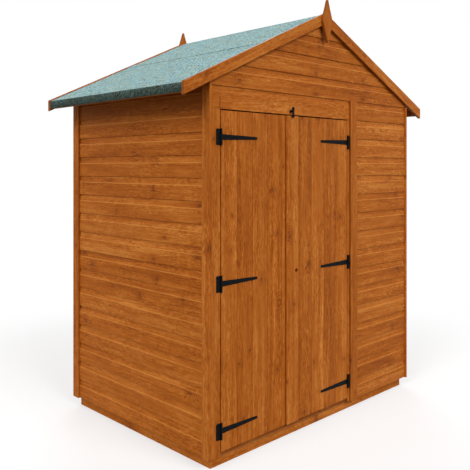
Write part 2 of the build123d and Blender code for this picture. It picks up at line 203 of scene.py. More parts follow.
def wander(tree, source, sizes, detail, reach):
    """A shift that wavers by up to half its reach along each axis."""
    shift = output(tree, "TexNoise", "Color", {"Vector": scaled(tree, source, sizes),
                                               "Scale": 1.0, "Detail": detail})
    return vector(tree, "MULTIPLY", vector(tree, "SUBTRACT", shift, (0.5, 0.5, 0.5)), reach)


def cloud(tree, source, sizes, detail=2.0, roughness=0.5):
    """A noise pattern from -0.5 to 0.5, with its cells per metre along each axis."""
    made = add(tree, "TexNoise", {"Vector": scaled(tree, source, sizes), "Scale": 1.0,
                                  "Detail": detail, "Roughness": roughness})
    return calc(tree, "SUBTRACT", made, 0.5)


def step(tree, value, low, high, to_low=0.0, to_high=1.0):
    """A smooth step of a value between two limits."""
    return add(tree, "MapRange", {"Value": value, "From Min": low, "From Max": high,
                                  "To Min": to_low, "To Max": to_high},
               interpolation_type="SMOOTHSTEP")


def blend(tree, factor, first, second, mode="MIX"):
    """Two colours mixed."""
    return output(tree, "Mix", 2, {0: factor, 6: first, 7: second}, data_type="RGBA",
                  blend_type=mode)


def ramp(tree, factor, stops):
    """A colour ramp through (place, colour) stops."""
    made = tree.nodes.new("ShaderNodeValToRGB")
    tree.links.new(factor, made.inputs[0])
    elements = made.color_ramp.elements
    for index, (place, value) in enumerate(stops):
        element = elements[index] if index < 2 else elements.new(place)
        element.position = place
        element.color = value
    return made.outputs[0]


def seen_directly(tree):
    """1 for the camera's rays and for those that gloss or glass sends on, else 0."""
    add(tree, "LightPath")
    rays = tree.nodes[-1].outputs
    direct = calc(tree, "MAXIMUM", rays["Is Camera Ray"], rays["Is Glossy Ray"])
    return calc(tree, "MAXIMUM", direct, rays["Is Transmission Ray"])


def blank(name):
    """A new material with its tree and its main shader."""
    made = bpy.data.materials.new(name)
    made.use_nodes = True
    tree = made.node_tree
    return made, tree, tree.nodes["Principled BSDF"]


def knot_field(tree, place, log, share):
    """Knots in a share of the cells of the board's face: the distance from the nearest one in
    its own radii, its heart, and its halo."""
    flat = vector(tree, "MULTIPLY", place, (*KNOT_CELLS, 0))
    add(tree, "TexVoronoi", {"Vector": flat, "Scale": 1.0}, voronoi_dimensions="2D")
    cells = tree.nodes[-1]
    centre = vector(tree, "MULTIPLY", cells.outputs["Position"],
                    (1 / KNOT_CELLS[0], 1 / KNOT_CELLS[1], 0))
    apart = vector(tree, "SUBTRACT", vector(tree, "MULTIPLY", log, (1, 1, 0)), centre)
    away = length(tree, vector(tree, "MULTIPLY", apart, (0.72, 1, 1)))
    add(tree, "SeparateColor", {"Color": cells.outputs["Color"]})
    chance, size = tree.nodes[-1].outputs[0], tree.nodes[-1].outputs[1]
    there = calc(tree, "LESS_THAN", chance, share)
    radius = calc(tree, "MULTIPLY_ADD", size, 0.009, 0.004)
    nearness = calc(tree, "DIVIDE", away, radius)
    heart = calc(tree, "MULTIPLY", step(tree, nearness, 1.6, 0.4), there)
    halo = calc(tree, "MULTIPLY", step(tree, nearness, 5.5, 0.6), there)
    return nearness, heart, halo


def late_wood(tree, place, log, halo):
    """The dark part of each growth ring round the pith, pushed aside and deepened by knots."""
    from_pith = length(tree, vector(tree, "MULTIPLY", log, (0, 1, 1)))
    spread = calc(tree, "MULTIPLY_ADD", halo, 0.020, from_pith)
    turns = calc(tree, "MULTIPLY", spread, RINGS_PER_METRE)
    turns = calc(tree, "MULTIPLY_ADD", cloud(tree, place, (0.8, 12, 12)), 6.0, turns)
    part = calc(tree, "FRACT", turns)
    late = calc(tree, "MULTIPLY", step(tree, part, 0.35, 0.92), step(tree, part, 1.0, 0.93))
    return calc(tree, "MULTIPLY", late, calc(tree, "MULTIPLY_ADD", halo, 1.6, 1.0))


def timber(name, deep, middle, pale, knot, knots=0.5, rough=0.55, sawn=0.0):
    """Softwood seen in the log's own place: growth rings round the pith, knots, streaks,
    fibres and the cloudiness of the stain."""
    if name in bpy.data.materials:
        return bpy.data.materials[name]
    made, tree, shader = blank(name)
    place = output(tree, "Attribute", "Vector", attribute_name="grain")
    tone = output(tree, "Attribute", "Fac", attribute_name="tone")
    edge_stain_and_painted_light = output(tree, "Attribute", "Fac", attribute_name="edge_stain_and_painted_light")

    # The pith wanders along the log, and the rings waver
    bend = wander(tree, place, (1.3, 0, 0), 2.0, (0, 0.07, 0.09))
    waver = wander(tree, place, (5, 26, 26), 3.0, (0.010, 0.014, 0.014))
    log = vector(tree, "ADD", vector(tree, "ADD", place, bend), waver)
    nearness, heart, halo = knot_field(tree, place, log, knots)
    late = late_wood(tree, place, log, halo)

    # Patterns of the fibres and of the stain, from coarse to fine
    streak = cloud(tree, log, (1.5, 48, 48), 5.0, 0.66)
    wide = cloud(tree, place, (1.1, 13, 13))
    fibre = cloud(tree, place, (22, 780, 780))
    patch = cloud(tree, log, (9, 22, 22), 5.0, 0.68)
    fleck = step(tree, cloud(tree, log, (30, 150, 150), 3.0), 0.07, 0.2)
    warm = step(tree, cloud(tree, place, (1.7, 10, 10), 3.0, 0.6), -0.16, 0.2)
    curl = cloud(tree, log, (34, 120, 120), 3.0, 0.65)
    curly = step(tree, cloud(tree, place, (3.0, 9, 9), 3.0), -0.12, 0.14, 0.35, 1.6)
    curl = calc(tree, "MULTIPLY", curl, curly)

    # From deep to pale stain by the sum of the patterns, then reddened in places
    shade = calc(tree, "MULTIPLY_ADD", late, -0.18, 0.565)
    for source, amount in ((streak, 1.2), (wide, 0.65), (fibre, 0.14), (patch, 0.5),
                           (curl, 0.95), (fleck, -0.2), (halo, -0.09), (tone, 0.11)):
        shade = calc(tree, "MULTIPLY_ADD", source, amount, shade)
    wood = ramp(tree, shade, ((0.02, deep), (0.5, middle), (0.98, pale)))
    red = blend(tree, 0.5, middle, deep)
    wood = blend(tree, calc(tree, "MULTIPLY", warm, 0.36), wood, red)
    rings = calc(tree, "FRACT", calc(tree, "MULTIPLY", nearness, 2.3))
    core = blend(tree, calc(tree, "MULTIPLY", rings, 0.35), knot, deep)
    wood = blend(tree, calc(tree, "MULTIPLY", heart, 0.5), wood, core)

    # The stain is thinner on the arrises, under a painted highlight there, and thicker on the
    # narrow sides and ends, under painted shade there
    thin_and_highlighted = calc(tree, "MULTIPLY_ADD", patch, 1.4, 0.86)
    thin_and_highlighted = add(tree, "Clamp", {"Value": calc(tree, "MULTIPLY", thin_and_highlighted, edge_stain_and_painted_light)})
    wood = blend(tree, thin_and_highlighted, wood, pale)
    # Painted shade, with thicker stain, on the narrow sides and ends, in the knot's dark colour
    thick = add(tree, "Clamp", {"Value": calc(tree, "MULTIPLY", edge_stain_and_painted_light, -0.38)})
    wood = blend(tree, thick, wood, knot)

    gloss = calc(tree, "MULTIPLY_ADD", streak, 0.25, rough)
    gloss = calc(tree, "MULTIPLY_ADD", late, -0.08, gloss)
    height = calc(tree, "MULTIPLY_ADD", late, 0.35, calc(tree, "MULTIPLY", fibre, 0.7))
    height = calc(tree, "MULTIPLY_ADD", heart, 0.6, height)
    height = calc(tree, "MULTIPLY_ADD", streak, 0.5, height)
    if sawn:
        saw = cloud(tree, place, (420, 3, 3))
        wood = blend(tree, calc(tree, "MULTIPLY_ADD", saw, 0.5 * sawn, 0.25 * sawn), wood, deep)
        height = calc(tree, "MULTIPLY_ADD", saw, 1.6 * sawn, height)
    tree.links.new(wood, shader.inputs["Base Color"])
    tree.links.new(gloss, shader.inputs["Roughness"])
    shader.inputs["Specular IOR Level"].default_value = 0.06
    bump = add(tree, "Bump", {"Strength": 0.45, "Distance": 0.0006, "Height": height})
    tree.links.new(bump, shader.inputs["Normal"])
    return made


def stained(name, **changes):
    """Planed boards in the orange-brown stain."""
    hues = bpy.context.scene.shed_colours
    return timber(name, hues.stain_deep, hues.stain, hues.stain_pale, hues.knot, **changes)


def sawn_wood(name, **changes):
    """Sawn timber inside the shed, in a thinner coat."""
    hues = bpy.context.scene.shed_colours
    return timber(name, hues.sawn_deep, hues.sawn, hues.sawn_pale, hues.knot,
                  rough=0.72, sawn=0.5, **changes)


def mineral_felt():
    """Bitumen felt with a coat of green slate granules, and painted shade where it folds down over
    the eave.
    """
    if "mineral_felt" in bpy.data.materials:
        return bpy.data.materials["mineral_felt"]
    hues = bpy.context.scene.shed_colours
    made, tree, shader = blank("mineral_felt")
    place = output(tree, "TexCoord", "Object")
    add(tree, "TexVoronoi", {"Vector": place, "Scale": 620.0})
    grains = tree.nodes[-1]
    add(tree, "SeparateColor", {"Color": grains.outputs["Color"]})
    lot, other = tree.nodes[-1].outputs[0], tree.nodes[-1].outputs[1]
    clump = cloud(tree, place, (170, 170, 170), 3.0, 0.7)
    drift = cloud(tree, place, (9, 9, 9), 4.0, 0.6)
    cool = step(tree, cloud(tree, place, (16, 16, 16), 3.0, 0.6), -0.12, 0.16)
    body = blend(tree, cool, hues.felt, hues.felt_cool)
    coarse = cloud(tree, place, (85, 85, 85), 2.0, 0.6)
    level = calc(tree, "MULTIPLY_ADD", lot, 0.55, 0.72)
    level = calc(tree, "MULTIPLY_ADD", clump, 4.2, level)
    level = calc(tree, "MULTIPLY_ADD", coarse, 2.5, level)
    level = calc(tree, "MULTIPLY_ADD", drift, 0.3, level)
    grey = add(tree, "CombineXYZ", {0: level, 1: level, 2: level})
    body = blend(tree, 1.0, body, grey, "MULTIPLY")
    pale = calc(tree, "GREATER_THAN", other, 0.93)
    body = blend(tree, calc(tree, "MULTIPLY", pale, 0.55), body, (0.62, 0.66, 0.62, 1))
    dark = calc(tree, "LESS_THAN", other, 0.07)
    body = blend(tree, calc(tree, "MULTIPLY", dark, 0.6), body, (0.05, 0.08, 0.08, 1))
    band = output(tree, "Attribute", "Fac", attribute_name="band")
    # Painted shade on the band that turns down over the eave, patchy with the clumps
    fold = calc(tree, "MULTIPLY", band, calc(tree, "MULTIPLY_ADD", clump, -0.55, 0.93))
    body = blend(tree, fold, body, hues.felt_band_painted_shade)
    tree.links.new(body, shader.inputs["Base Color"])
    shader.inputs["Roughness"].default_value = 0.95
    shader.inputs["Specular IOR Level"].default_value = 0.06
    height = calc(tree, "MULTIPLY_ADD", grains.outputs["Distance"], -1.0, lot)
    bump = add(tree, "Bump", {"Strength": 0.6, "Distance": 0.0008, "Height": height})
    tree.links.new(bump, shader.inputs["Normal"])
    return made


def black_iron():
    """Black powder coat with a fine orange peel and dust in it."""
    if "powder_coat" in bpy.data.materials:
        return bpy.data.materials["powder_coat"]
    hues = bpy.context.scene.shed_colours
    made, tree, shader = blank("powder_coat")
    place = output(tree, "TexCoord", "Object")
    peel = cloud(tree, place, (700, 700, 700))
    dust = step(tree, cloud(tree, place, (60, 60, 60), 4.0, 0.65), 0.02, 0.35)
    coat = blend(tree, calc(tree, "MULTIPLY", dust, 0.5), hues.iron, (0.008, 0.008, 0.008, 1))
    tree.links.new(coat, shader.inputs["Base Color"])
    tree.links.new(calc(tree, "MULTIPLY_ADD", dust, 0.2, 0.55), shader.inputs["Roughness"])
    shader.inputs["Specular IOR Level"].default_value = 0.05
    bump = add(tree, "Bump", {"Strength": 0.25, "Distance": 0.0003, "Height": peel})
    tree.links.new(bump, shader.inputs["Normal"])
    return made


def nail_steel():
    """Dull nail heads, browned by the stain."""
    if "nail_steel" in bpy.data.materials:
        return bpy.data.materials["nail_steel"]
    hues = bpy.context.scene.shed_colours
    made, tree, shader = blank("nail_steel")
    place = output(tree, "TexCoord", "Object")
    rust = step(tree, cloud(tree, place, (300, 300, 300), 3.0), -0.1, 0.2)
    tree.links.new(blend(tree, rust, hues.steel, (0.05, 0.02, 0.008, 1)),
                   shader.inputs["Base Color"])
    tree.links.new(calc(tree, "MULTIPLY_ADD", rust, 0.25, 0.5), shader.inputs["Roughness"])
    shader.inputs["Metallic"].default_value = 0.4
    return made


# Mesh helpers

def mesh_layers(bm):
    """The layers for each point's place in its log, its board's tone, and its edge stain, which
    carries painted highlight and shade.
    """
    layers = bm.verts.layers
    grain = layers.float_vector.get("grain") or layers.float_vector.new("grain")
    tone, edge_stain_and_painted_light = (layers.float.get(name) or layers.float.new(name) for name in ("tone", "edge_stain_and_painted_light"))
    return grain, tone, edge_stain_and_painted_light


def draws(key):
    """Random draws of their own for one piece."""
    return random.Random(f"{bpy.context.scene.shed_sizes.seed} {key}")


def stamp(bm, verts, along, rng):
    """Give the points of one board their places in a log: along it, and from its pith."""
    grain, tone, _ = mesh_layers(bm)
    third = ALONG_Y if abs(along.y) < 0.5 else UP
    across = along.cross(third).normalized()
    sides = []
    for axis in (across, third):
        reach = [v.co.dot(axis) for v in verts]
        sides.append((max(reach) - min(reach), (max(reach) + min(reach)) / 2, axis))
    sides.sort(key=lambda side: -side[0])
    (wide, mid_wide, wide_axis), (_, mid_thick, thick_axis) = sides
    start = rng.uniform(0, LOG_LENGTH)
    pith = rng.uniform(-0.6, 0.6) * wide
    below = rng.choice((-1, 1)) * rng.uniform(0.025, 0.09)
    lift = rng.uniform(-1, 1)
    for v in verts:
        v[grain] = (v.co.dot(along) + start, v.co.dot(wide_axis) - mid_wide - pith,
                    v.co.dot(thick_axis) - mid_thick - below)
        v[tone] = lift


def islands(bm):
    """The separate boards of a mesh, as lists of points."""
    left, found = set(bm.verts), []
    while left:
        todo, board = [left.pop()], []
        while todo:
            vert = todo.pop()
            board.append(vert)
            for edge in vert.link_edges:
                other = edge.other_vert(vert)
                if other in left:
                    left.remove(other)
                    todo.append(other)
        found.append(sorted(board, key=lambda v: tuple(round(c, 5) for c in v.co)))
    return sorted(found, key=lambda board: tuple(round(c, 5) for c in board[0].co))


def soften(bm, width, angle=40, segments=2):
    """Round the edges that are sharper than an angle."""
    sharp = [e for e in bm.edges
             if len(e.link_faces) == 2 and e.calc_face_angle(0) > math.radians(angle)]
    bmesh.ops.bevel(bm, geom=sharp, offset=width, offset_type="OFFSET", segments=segments,
                    profile=0.5, affect="EDGES", clamp_overlap=True, material=-1)


def shade_by_angle(bm, angle=9):
    """Smooth shading that breaks at edges over an angle."""
    for face in bm.faces:
        face.smooth = True
    for edge in bm.edges:
        edge.smooth = edge.calc_face_angle(0) < math.radians(angle)


def node_copy(name):
    """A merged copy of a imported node's mesh, with its flat faces whole."""
    bm = bmesh.new()
    bm.from_mesh(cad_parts[name].data)
    bmesh.ops.remove_doubles(bm, verts=bm.verts, dist=1e-6)
    bmesh.ops.dissolve_limit(bm, angle_limit=math.radians(0.5), verts=bm.verts,
                             edges=bm.edges, delimit=set())
    return bm


def cut(bm, point, normal):
    """Take away what lies beyond a plane, and close the mesh there."""
    made = bmesh.ops.bisect_plane(bm, geom=bm.verts[:] + bm.edges[:] + bm.faces[:],
                                  plane_co=point, plane_no=normal, clear_outer=True)
    edges = [e for e in made["geom_cut"] if isinstance(e, bmesh.types.BMEdge)]
    if edges:
        bmesh.ops.holes_fill(bm, edges=edges, sides=0)


def join(target, source):
    """Add one mesh to another, and free it."""
    mesh = bpy.data.meshes.new("part")
    source.to_mesh(mesh)
    target.from_mesh(mesh)
    source.free()
    bpy.data.meshes.remove(mesh)


def place(bm, name, finish, slot, body, *nodes):
    """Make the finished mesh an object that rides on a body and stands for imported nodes."""
    mesh = bpy.data.meshes.new(name)
    bm.to_mesh(mesh)
    bm.free()
    mesh.materials.append(finish)
    piece = bpy.data.objects.new(name, mesh)
    bpy.context.scene.collection.objects.link(piece)
    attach(piece, body)
    if nodes:
        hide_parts(*nodes)
    return piece


def grain_way(board):
    """The way of a board's longest edge, which is the way of its grain."""
    best = max((e for v in board for e in v.link_edges), key=lambda e: round(e.calc_length(), 4))
    way = (best.verts[0].co - best.verts[1].co).normalized()
    return -way if sum(way) < 0 else way


def darken_edges(bm, board):
    """Mark the narrow sides and ends of a board, which drink more stain than its faces and carry
    painted shade.
    """
    edge_stain_and_painted_light = mesh_layers(bm)[2]
    broad = max({f for v in board for f in v.link_faces}, key=lambda f: f.calc_area()).normal
    for v in board:
        v[edge_stain_and_painted_light] = -float(all(abs(f.normal.dot(broad)) < 0.95 for f in v.link_faces))


def dress(node, finish, slot, body="shed", edge=None, dark_stain_and_shaded_edges=False):
    """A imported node's timbers with softened edges, each with a grain of its own."""
    rng = draws(node)
    bm = node_copy(node)
    ways = [grain_way(board) for board in islands(bm)]
    soften(bm, edge or bpy.context.scene.shed_sizes.edge)
    mesh_layers(bm)
    for way, board in zip(ways, islands(bm), strict=True):
        stamp(bm, board, way, rng)
        if dark_stain_and_shaded_edges:
            darken_edges(bm, board)
    shade_by_angle(bm)
    return place(bm, node + "_wood", finish, slot, body, node)


def planks(node, name, finish, slot, way, across, places, edge, gap, body="shed", key=None):
    """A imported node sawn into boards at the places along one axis, as one piece."""
    rng = draws(key or node)
    source, target = node_copy(node), new_mesh()
    for low, high in zip(places, places[1:]):
        board = source.copy()
        if low != places[0]:
            cut(board, across * (low + gap / 2), -across)
        if high != places[-1]:
            cut(board, across * (high - gap / 2), across)
        soften(board, edge)
        mesh_layers(board)
        stamp(board, board.verts[:], way, rng)
        join(target, board)
    source.free()
    shade_by_angle(target)
    return place(target, name, finish, slot, body, node)


def new_mesh():
    """An empty mesh with the timber layers."""
    bm = bmesh.new()
    mesh_layers(bm)
    return bm


def spaced(low, high, pitch):
    """Places from low to high, a pitch apart, ending with high."""
    count = max(1, round((high - low) / pitch))
    return [low + (high - low) * i / count for i in range(count + 1)]


def shiplap_board(start, end, low, rng):
    """One board lying along Y, its face at X 0: flat below, coved above, with a rebate behind
    its lip and a tongue that stands behind the next board's lip."""
    sizes = bpy.context.scene.shed_sizes
    cover, thick = sizes.cover, sizes.thickness
    bm = bmesh.new()
    radius = (sizes.cove_height ** 2 + sizes.cove_depth ** 2) / (2 * sizes.cove_depth)
    sweep = math.atan(sizes.cove_height / (radius - sizes.cove_depth))
    first = bm.verts.new((0, 0, cover - sizes.cove_height))
    made = bmesh.ops.spin(bm, geom=[first], cent=(sizes.cove_depth - radius, 0, cover),
                          axis=(0, 1, 0), angle=-sweep, steps=8, use_merge=False)
    last = next(v for v in made["geom_last"] if isinstance(v, bmesh.types.BMVert))
    gap = sizes.joint
    lip = sizes.cove_depth - gap
    arris = cover - sizes.cove_height
    outline = [(sizes.cove_depth, cover + sizes.tongue), (thick, cover + sizes.tongue),
               (thick, sizes.tongue + gap), (lip, sizes.tongue + gap), (lip, gap),
               (sizes.edge, gap), (sizes.edge * 0.3, gap + sizes.edge * 0.3),
               (0, gap + sizes.edge), (0, arris - sizes.arris_stain_and_highlight_reach)]
    for x, z in outline:
        vert = bm.verts.new((x, 0, z))
        bm.edges.new((last, vert))
        last = vert
    bm.edges.new((last, first))
    section = bmesh.ops.contextual_create(bm, geom=bm.edges[:])["faces"]
    made = bmesh.ops.extrude_face_region(bm, geom=section)
    moved = [v for v in made["geom"] if isinstance(v, bmesh.types.BMVert)]
    bmesh.ops.translate(bm, verts=bm.verts, vec=(0, start, low))
    bmesh.ops.translate(bm, verts=moved, vec=(0, end - start, 0))
    bmesh.ops.recalc_face_normals(bm, faces=bm.faces)
    # Painted highlight, with thinner stain, along the arris where the cove leaves the face
    edge_stain_and_painted_light = mesh_layers(bm)[2]
    for v in bm.verts:
        v[edge_stain_and_painted_light] = float(abs(v.co.z - low - arris) < 1e-5)
    stamp(bm, bm.verts[:], ALONG_Y, rng)
    return bm


def under_roof(bm):
    """Cut a mesh to the roof's two slopes, a hair below them."""
    rise = bpy.context.scene.shed_sizes.roof_rise
    for side in (-1, 1):
        cut(bm, UP * (ROOF_UNDER - 0.0004), Vector((side * rise, 0, 1)).normalized())


def shiplap_wall(wall, turn, face, reach, low, count):
    """A wall of boards. It is made looking along -X and turned about Z into place."""
    cover = bpy.context.scene.shed_sizes.cover
    name = wall + "_boards"
    rng = draws(name)
    boards = new_mesh()
    matrix = Matrix.Rotation(math.radians(turn), 4, "Z") @ Matrix.Translation((face, 0, 0))
    for index in range(count):
        board = shiplap_board(*reach, low + index * cover, rng)
        bmesh.ops.transform(board, matrix=matrix, verts=board.verts)
        if low + (index + 1) * cover > WALL_TOP - 0.01:
            under_roof(board)
        if board.verts:
            join(boards, board)
    shade_by_angle(boards)
    return place(boards, name, stained("stained_shiplap"), "cladding", "shed",
                 wall + "_cladding")


class SHED_OT_cladding(bpy.types.Operator):
    """Nail the shiplap boards to the four walls and the gables"""
    bl_idname = "shed.cladding"
    bl_label = "Shiplap cladding"

    def execute(self, context):
        sizes = context.scene.shed_sizes
        wall_count = round((WALL_TOP - FLOOR_TOP) / sizes.cover)
        gable_count = math.ceil((ROOF_UNDER - WALL_TOP) / sizes.cover)
        deep = [corner.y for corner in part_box("left_wall_cladding")]
        broad = (LEFT_FACE, -LEFT_FACE)
        panel_low, panel_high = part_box("front_panel_cladding")
        panel = (-panel_high.x, -panel_low.x)
        for wall, turn, face, reach, low, count in (
                ("left_wall", 0, LEFT_FACE, deep, FLOOR_TOP, wall_count + 1),
                ("right_wall", 180, LEFT_FACE, deep, FLOOR_TOP, wall_count + 1),
                ("back_wall", 270, FRONT_FACE, broad, FLOOR_TOP, wall_count),
                ("front_panel", 90, FRONT_FACE, panel, FLOOR_TOP, wall_count),
                ("front_gable", 90, FRONT_FACE, broad, WALL_TOP, gable_count),
                ("back_gable", 270, FRONT_FACE, broad, WALL_TOP, gable_count)):
            shiplap_wall(wall, turn, face, reach, low, count)
        finish = stained("stained_shiplap")
        # Painted shade, with thicker stain, on the lintel's narrow sides and ends
        dress("lintel_board", finish, "cladding", edge=sizes.edge * 0.4, dark_stain_and_shaded_edges=True)
        dress("door_post_boards", finish, "cladding")
        return {"FINISHED"}


def door_seams(door):
    """The places across a door where its boards begin and end, counted from its hinges, to a
    tenth of a millimetre."""
    low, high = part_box(door + "_boards")
    cover = bpy.context.scene.shed_sizes.cover
    hinge, way = (low.x, cover) if door == "left_door" else (high.x, -cover)
    seams = sorted(round(hinge + way * count, 4) for count in range(1, 5))
    return [low.x, *seams, high.x]


class SHED_OT_doors(bpy.types.Operator):
    """Hang the two ledged and braced doors, of tongued boards"""
    bl_idname = "shed.doors"
    bl_label = "Doors"

    def execute(self, context):
        sizes = context.scene.shed_sizes
        boards = stained("stained_door_boards", knots=0.62)
        back = sawn_wood("sawn_door_frame")
        for door in ("left_door", "right_door"):
            planks(door + "_boards", door + "_planks", boards, "door_boards", UP, ALONG_X,
                   door_seams(door), sizes.edge * 0.4, sizes.joint * 0.8, body=door)
            dress(door + "_ledges", back, "framing", door)
            dress(door + "_braces", back, "framing", door)
        dress("door_cover_strip", stained("stained_trim"), "trim", "right_door",
              edge=sizes.strip_edge)
        return {"FINISHED"}


class SHED_OT_trims(bpy.types.Operator):
    """Fix the corner trims, bargeboards and finials"""
    bl_idname = "shed.trims"
    bl_label = "Trims and bargeboards"

    def execute(self, context):
        finish = stained("stained_trim", knots=0.4)
        edge = context.scene.shed_sizes.trim_edge
        for node in ("side_trims", "back_trims"):
            dress(node, finish, "trim", edge=edge)
        # Painted shade, with thicker stain, on the narrow sides and ends of these
        for node in ("front_joint_trim", "left_bargeboards", "right_bargeboards", "finials"):
            dress(node, finish, "trim", edge=edge, dark_stain_and_shaded_edges=True)
        return {"FINISHED"}


class SHED_OT_framing(bpy.types.Operator):
    """Put up the sawn studs, rails, posts, plates, rafters and purlins"""
    bl_idname = "shed.framing"
    bl_label = "Framing"

    def execute(self, context):
        finish = sawn_wood("sawn_framing")
        for node in ("wall_studs", "side_wall_rails", "back_wall_rails", "front_posts",
                     "front_rails", "wall_plates", "gable_rafters_left",
                     "gable_rafters_right", "roof_purlins"):
            dress(node, finish, "framing")
        dress("eave_battens", finish, "roof_boards")
        return {"FINISHED"}


class SHED_OT_floor(bpy.types.Operator):
    """Lay the bearers, joists, floor boards and threshold"""
    bl_idname = "shed.floor"
    bl_label = "Floor"

    def execute(self, context):
        sizes = context.scene.shed_sizes
        base = stained("stained_base", rough=0.65)
        for node in ("floor_bearers", "floor_joists"):
            dress(node, base, "floor_timber")
        low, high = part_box("floor_deck")
        planks("floor_deck", "floor_boards", sawn_wood("floor_planks"), "floor_timber",
               ALONG_X, ALONG_Y, spaced(low.y, high.y, sizes.plank), sizes.edge, sizes.joint,
               key="floor")
        # Painted shade, with thicker stain, on the threshold's narrow sides and ends
        dress("door_threshold", base, "floor_timber", dark_stain_and_shaded_edges=True)
        return {"FINISHED"}


class SHED_OT_roof(bpy.types.Operator):
    """Board the two slopes of the roof"""
    bl_idname = "shed.roof"
    bl_label = "Roof boards"

    def execute(self, context):
        sizes = context.scene.shed_sizes
        finish = sawn_wood("roof_planks")
        for side, fall in (("left", sizes.roof_rise), ("right", -sizes.roof_rise)):
            node = "roof_deck_" + side
            low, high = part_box(node)
            planks(node, "roof_boards_" + side, finish, "roof_boards",
                   Vector((1, 0, fall)).normalized(), ALONG_Y,
                   spaced(low.y, high.y, sizes.plank), sizes.edge * 0.5, sizes.joint)
        return {"FINISHED"}


def felt_sheet(points, folds, low, high):
    """A strip of felt from its top line in X and Z, carried along Y. It waves a little, and its
    band, where it turns down over an eave, is marked for painted shade that is deepest along its
    lower edge."""
    sizes = bpy.context.scene.shed_sizes
    bm = bmesh.new()
    band = bm.verts.layers.float.new("band")
    chain = [bm.verts.new((x, low, z)) for x, z in points]
    for pair in zip(chain, chain[1:]):
        bm.edges.new(pair)
    if folds:
        bmesh.ops.bevel(bm, geom=[chain[i] for i in folds], offset=sizes.felt_fold,
                        offset_type="OFFSET", segments=4, profile=0.5, affect="VERTICES",
                        clamp_overlap=True, material=-1)
    for edge in [e for e in bm.edges if e.calc_length() > 0.12]:
        bmesh.ops.subdivide_edges(bm, edges=[edge], cuts=round(edge.calc_length() / 0.05))
    front, rows = bm.edges[:], 30
    for _ in range(rows):
        made = bmesh.ops.extrude_edge_only(bm, edges=front)["geom"]
        verts = [g for g in made if isinstance(g, bmesh.types.BMVert)]
        front = [g for g in made if isinstance(g, bmesh.types.BMEdge)]
        bmesh.ops.translate(bm, verts=verts, vec=(0, (high - low) / rows, 0))
    eave = max(abs(x) for x, _ in points)
    for v in bm.verts:
        # Painted shade marks: full along the band's lower edge, a little less above it
        if folds and abs(v.co.x) > eave - 0.004:
            v[band] = 1.0 if v.co.z < points[-1][1] + 0.01 else 0.86
            continue
        wave = noise.noise(Vector((v.co.x * 3.1, v.co.y * 3.7, 4.2)))
        wave += 0.4 * noise.noise(Vector((v.co.x * 9, v.co.y * 11, 1.7)))
        room = min(1.0, (v.co.y - low) / 0.08, (high - v.co.y) / 0.08)
        v.co.z += sizes.felt_wave * wave * room
    bmesh.ops.recalc_face_normals(bm, faces=bm.faces)
    if sum(f.normal.z for f in bm.faces) < 0:
        bmesh.ops.reverse_faces(bm, faces=bm.faces)
    bmesh.ops.solidify(bm, geom=bm.faces[:], thickness=sizes.felt)
    shade_by_angle(bm, 35)
    return bm


class SHED_OT_felt(bpy.types.Operator):
    """Lay the green mineral felt in three strips, lapped below the ridge"""
    bl_idname = "shed.felt"
    bl_label = "Roofing felt"

    def execute(self, context):
        sizes = context.scene.shed_sizes
        finish = mineral_felt()
        for side in ("left", "right"):
            low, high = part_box("felt_" + side)
            inner, outer = (high.x, low.x) if side == "left" else (low.x, high.x)
            fall = abs(outer - inner) * sizes.roof_rise
            points = [(inner, high.z), (outer, high.z - fall), (outer, low.z)]
            place(felt_sheet(points, [1], low.y, high.y), "felt_strip_" + side, finish,
                  "roof_felt", "shed", "felt_" + side)

        # The ridge strip rises by its own thickness where it laps the others
        low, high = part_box("felt_ridge")
        lift = sizes.felt * math.sqrt(1 + sizes.roof_rise ** 2)
        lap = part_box("felt_right")[0].x
        right = [(x, high.z - x * sizes.roof_rise + rise)
                 for x, rise in ((lap - sizes.felt, 0), (lap, lift), (high.x, lift))]
        points = [(-x, z) for x, z in reversed(right)] + [(0, high.z)] + right
        place(felt_sheet(points, None, low.y, high.y), "felt_strip_ridge", finish, "roof_felt",
              "shed", "felt_ridge")
        return {"FINISHED"}


def iron(node, body, edge):
    """A packed iron part with its edges eased."""
    bm = node_copy(node)
    soften(bm, edge, angle=50, segments=1)
    shade_by_angle(bm, 32)
    return place(bm, node + "_iron", black_iron(), "black_iron", body, node)


def head(target, at, out, diameter, height, socket=False):
    """The head of a nail or a screw, which stands out from a face; a screw's has a socket."""
    bm = bmesh.new()
    bmesh.ops.create_cone(bm, cap_ends=True, segments=16 if socket else 10,
                          radius1=diameter / 2, radius2=diameter * 0.4, depth=height * 2)
    if socket:
        top = max(bm.faces, key=lambda f: f.calc_center_median().z)
        bmesh.ops.inset_region(bm, faces=[top], thickness=diameter * 0.2)
        hollow = bmesh.ops.extrude_discrete_faces(bm, faces=[top])["faces"][0]
        bmesh.ops.translate(bm, verts=hollow.verts, vec=(0, 0, -height * 0.8))
    turn = Vector(out).to_track_quat("Z", "Y").to_matrix().to_4x4()
    bmesh.ops.transform(bm, matrix=Matrix.Translation(at) @ turn, verts=bm.verts)
    bmesh.ops.remove_doubles(bm, verts=bm.verts, dist=1e-6)
    join(target, bm)


def spans(node, front=False):
    """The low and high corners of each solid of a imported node, or of its broadest front face."""
    bm = node_copy(node)
    bm.normal_update()
    found = []
    for part in islands(bm):
        if front:
            faces = {f for v in part for f in v.link_faces if f.normal.y < -0.95}
            part = max(faces, key=lambda f: f.calc_area()).verts
        found.append(tuple(Vector(pick(v.co[i] for v in part) for i in range(3))
                           for pick in (min, max)))
    bm.free()
    return found


def nail_rows(sizes):
    """The heights of the nails in the wall boards, two to a board."""
    return [FLOOR_TOP + i * sizes.cover + rise
            for i in range(round((WALL_TOP - FLOOR_TOP) / sizes.cover))
            for rise in (0.020, sizes.cover - sizes.cove_height - 0.014)]


